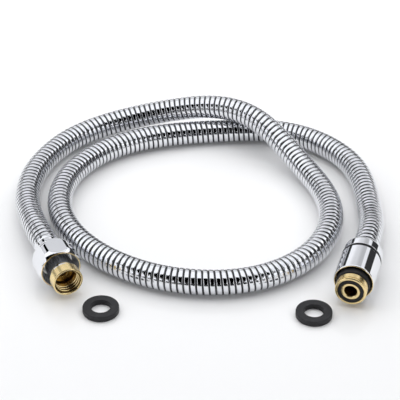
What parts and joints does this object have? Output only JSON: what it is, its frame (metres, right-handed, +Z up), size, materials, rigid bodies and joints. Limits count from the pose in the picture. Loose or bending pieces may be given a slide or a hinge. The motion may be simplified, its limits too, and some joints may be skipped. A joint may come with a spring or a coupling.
{
  "type": "shower hose",
  "caption": "Flexible interlocked metal shower hose lying in a coil, with a swivelling hex nut at one end, a swivelling sleeve connector at the other, and two loose sealing washers.",
  "frame": {"origin": "on the surface the hose lies on, under the middle of the whole part", "axes": "+Z up from the surface; the nut end is at -X and the connector end at +X, and both fittings point towards -Y"},
  "size_m": [0.2087, 0.1994, 0.0284],
  "materials": {
    "casing": "polished chrome, interlocked strip",
    "chrome": "polished chrome",
    "brass": "turned, satin",
    "rubber": "matt black",
    "black_plastic": "matt black",
    "white_plastic": "natural white"
  },
  "bodies": {
    "hose": {"hose_tube": "casing", "nut_end_ferrule": "chrome", "nut_end_liner": "rubber", "nut_end_tail": "brass", "connector_end_collar": "chrome", "connector_end_liner": "rubber", "swivel_ring": "black_plastic", "thrust_washer": "white_plastic", "swivel_spindle": "brass", "spindle_o_ring": "rubber", "loose_washer_left": "rubber", "loose_washer_right": "rubber"},
    "swivel_nut": {"hex_shell": "chrome", "nut_neck": "chrome", "thread_ring": "brass"},
    "swivel_sleeve": {"sleeve": "chrome", "quick_connector": "brass", "face_seal": "rubber", "recess_seal": "rubber"}
  },
  "joints": [
    {"name": "nut_swivel", "type": "hinge", "parent": "hose", "child": "swivel_nut", "pos_m": [-0.0821, -0.0423, 0.0113], "axis": [0.3907, -0.9205, 0], "continuous": true},
    {"name": "sleeve_swivel", "type": "hinge", "parent": "hose", "child": "swivel_sleeve", "pos_m": [0.091, -0.0445, 0.0109], "axis": [-0.2756, -0.9613, 0], "continuous": true}
  ]
}
